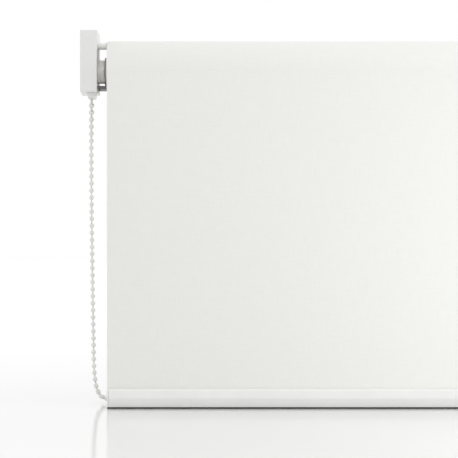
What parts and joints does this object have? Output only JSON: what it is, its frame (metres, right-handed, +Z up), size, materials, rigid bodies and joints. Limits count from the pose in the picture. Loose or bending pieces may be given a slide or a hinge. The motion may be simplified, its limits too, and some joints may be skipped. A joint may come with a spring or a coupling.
{
  "type": "roller blind",
  "caption": "Chain-operated roller blind: slim covered end brackets, tube with wound cloth, hanging panel with weighted hem bar, and a looped bead chain.",
  "frame": {"origin": "on the wall face of the control-end bracket, midway between its two screw holes", "axes": "+X along the roller from the control end to the idle end, +Y to the wall, +Z up"},
  "size_m": [0.6032, 0.0607, 0.318],
  "materials": {
    "cover_plastic": "white moulded plastic, fine satin grain",
    "bracket_paint": "white powder coat on die-cast zinc",
    "pale_grey_plastic": "pale warm grey moulded plastic",
    "collar_grey": "mid grey moulded plastic",
    "slide_grey": "dark grey moulded plastic",
    "chain_plastic": "white moulded beads on a cord",
    "cloth": "off-white plain weave, coated",
    "hem_paint": "white powder coat on extruded aluminium",
    "hem_plastic": "white moulded plastic",
    "aluminium": "mill finish, drawn lines along the tube",
    "seal_rubber": "black soft seal strip",
    "steel": "zinc plated"
  },
  "bodies": {
    "root": {"bracket_frame_control": "bracket_paint", "cover_control": "cover_plastic", "clutch_housing": "pale_grey_plastic", "housing_screw_front": "steel", "housing_screw_rear": "steel", "chain_guide": "cover_plastic", "hub_sleeve": "pale_grey_plastic", "axle": "steel", "clutch_core": "steel", "wrap_spring_inner": "steel", "wrap_spring_outer": "steel", "axle_clip": "steel", "chain_over_wheel": "chain_plastic", "chain_loop": "chain_plastic", "chain_connector": "chain_plastic", "fabric_panel": "cloth", "bracket_frame_idle": "bracket_paint", "cover_idle": "cover_plastic", "idle_bush": "pale_grey_plastic"},
    "roller": {"roller_tube": "aluminium", "fabric_roll": "cloth", "drive_plug": "collar_grey", "idle_plug": "collar_grey", "idle_stop": "collar_grey", "pin_spring": "steel"},
    "chain_wheel": {"chain_wheel": "pale_grey_plastic"},
    "hem": {"hem_bar": "hem_paint", "hem_keder": "cloth", "hem_weight": "steel", "hem_seal": "seal_rubber", "hem_cap_control": "hem_plastic", "hem_cap_idle": "hem_plastic"},
    "idle_pin": {"idle_pin": "steel"},
    "lock_slide": {"lock_slide": "slide_grey"}
  },
  "joints": [
    {"name": "roller_turn", "type": "hinge", "parent": "root", "child": "roller", "pos_m": [0, -0.028, -0.008], "axis": [-1, 0, 0], "range_deg": [0, 527.2]},
    {"name": "chain_wheel_turn", "type": "hinge", "parent": "root", "child": "chain_wheel", "pos_m": [0, -0.028, -0.008], "axis": [-1, 0, 0], "range_deg": [0, 527.2]},
    {"name": "hem_lift", "type": "slide", "parent": "root", "child": "hem", "axis": [0, 0, 1], "range_m": [0, 0.242], "deforming": ["fabric_panel"]},
    {"name": "idle_pin_slide", "type": "slide", "parent": "roller", "child": "idle_pin", "axis": [-1, 0, 0], "range_m": [0, 0.007], "stiffness_N_per_m": 300, "springref_m": -0.005, "deforming": ["pin_spring"]},
    {"name": "lock_slide_travel", "type": "slide", "parent": "root", "child": "lock_slide", "axis": [0, -1, 0], "range_m": [0, 0.006]}
  ],
  "couplings": [
    {"joint": "chain_wheel_turn", "follows": "roller_turn", "ratio": 1},
    {"joint": "hem_lift", "follows": "roller_turn", "m_per_rad": 0.0263}
  ]
}
